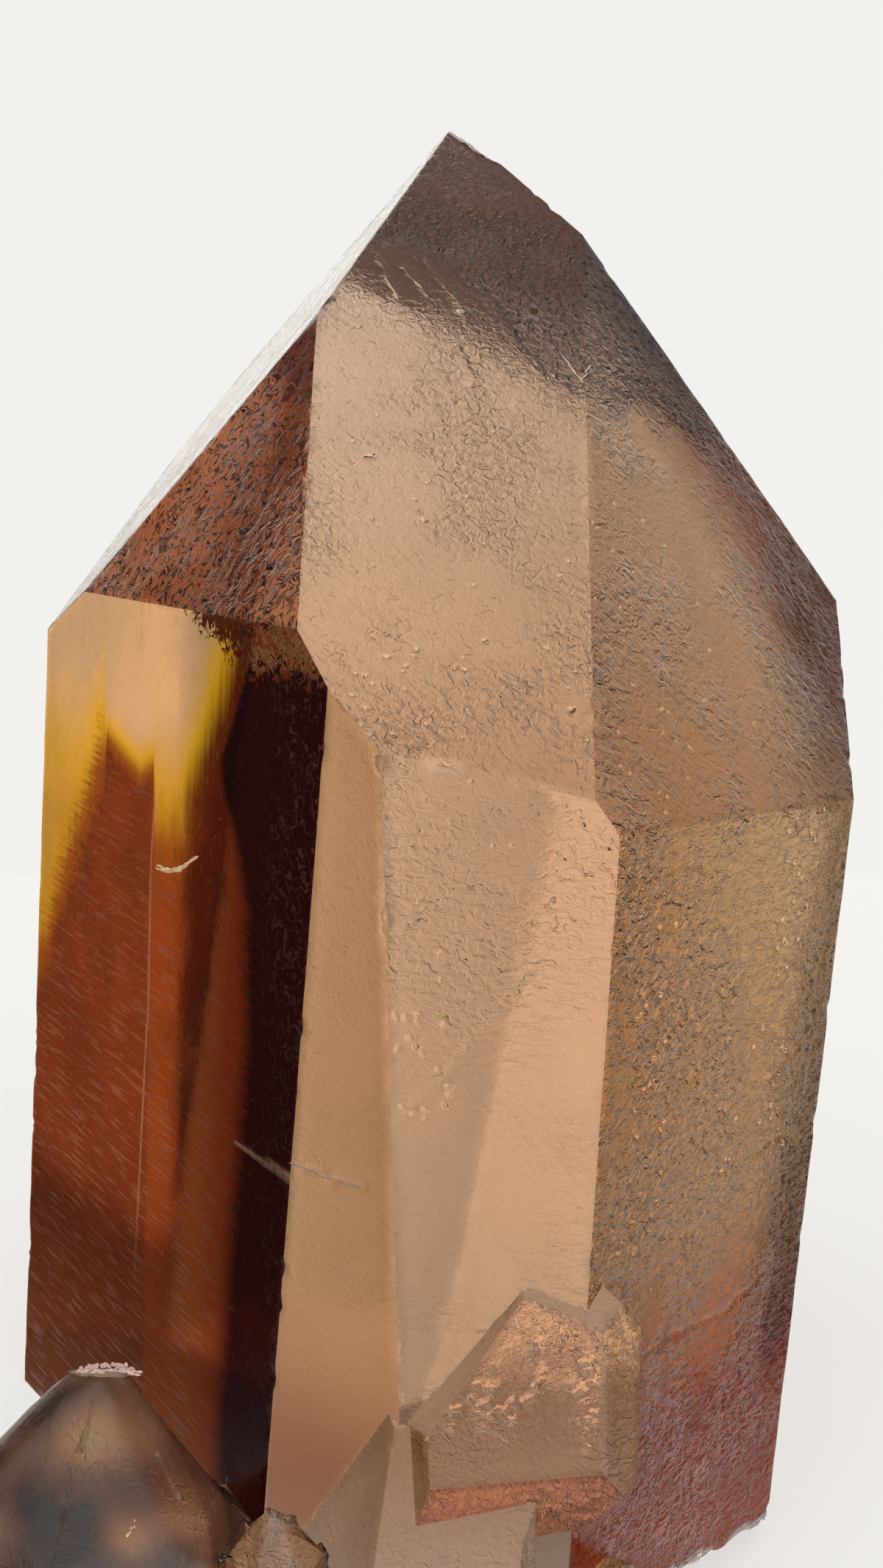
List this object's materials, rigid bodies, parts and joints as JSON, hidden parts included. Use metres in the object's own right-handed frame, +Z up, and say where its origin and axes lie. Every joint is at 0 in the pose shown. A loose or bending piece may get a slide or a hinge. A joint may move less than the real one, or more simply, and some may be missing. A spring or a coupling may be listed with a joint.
{
  "type": "smoky quartz crystal",
  "caption": "Stout smoky quartz point with smaller crystals grown onto its foot, cut flat below so that it stands.",
  "frame": {"origin": "centre of the bottom of the object's box, on the surface that it stands on", "axes": "+Z up along the crystal, -Y towards the side with the side crystals, +X to the right"},
  "size_m": [0.0518, 0.0684, 0.0809],
  "materials": {
    "quartz": "clear warm brown quartz with natural growth faces, see-through"
  },
  "bodies": {
    "root": {"smoky_quartz": "quartz"}
  },
  "joints": []
}
